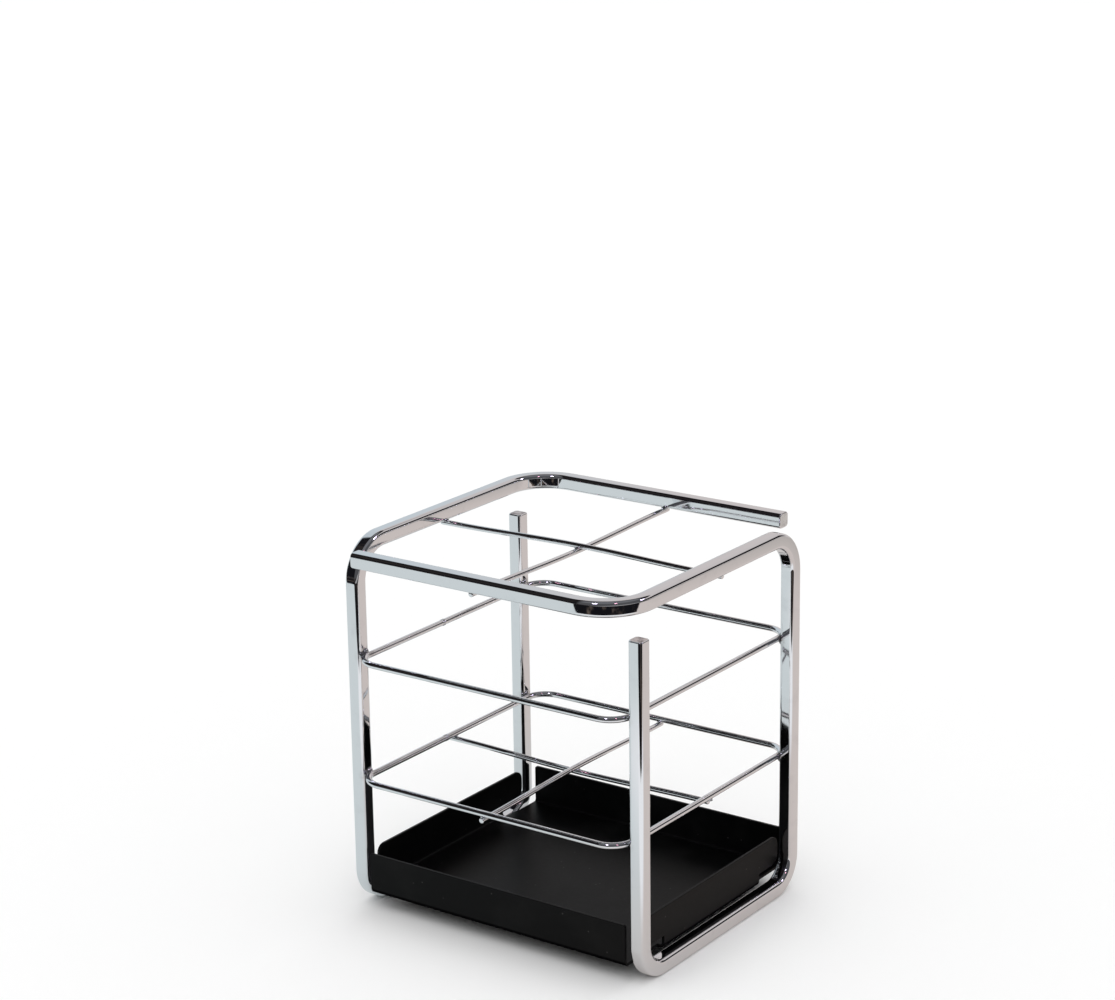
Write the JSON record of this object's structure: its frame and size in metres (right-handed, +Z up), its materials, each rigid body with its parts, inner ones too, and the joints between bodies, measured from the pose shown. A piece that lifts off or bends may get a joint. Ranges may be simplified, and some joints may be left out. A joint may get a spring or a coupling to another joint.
{
  "type": "kitchen tool holder",
  "caption": "Open square holder for long kitchen tools: bent square bars tied by wire rings, with crossed divider wires and a loose folded tray.",
  "frame": {"origin": "centre of the footprint, on the surface that the holder stands on", "axes": "+X to the right along the front rail, +Y to the back, +Z up"},
  "size_m": [0.11, 0.11, 0.1215],
  "materials": {
    "chrome": "mirror",
    "black_coating": "satin"
  },
  "bodies": {
    "frame": {"right_bar": "chrome", "left_bar": "chrome", "upper_ring": "chrome", "lower_ring": "chrome", "ring_seams": "chrome", "top_across_wire": "chrome", "top_along_wire": "chrome", "lower_across_wire": "chrome", "lower_along_wire": "chrome", "upper_ring_welds": "chrome", "lower_ring_welds": "chrome", "rail_welds": "chrome", "lower_divider_welds": "chrome", "crossing_welds": "chrome"},
    "tray": {"tray": "black_coating"}
  },
  "joints": [
    {"name": "tray_lift", "type": "slide", "parent": "frame", "child": "tray", "axis": [0, 0, 1], "range_m": [0, 0.0225]}
  ]
}
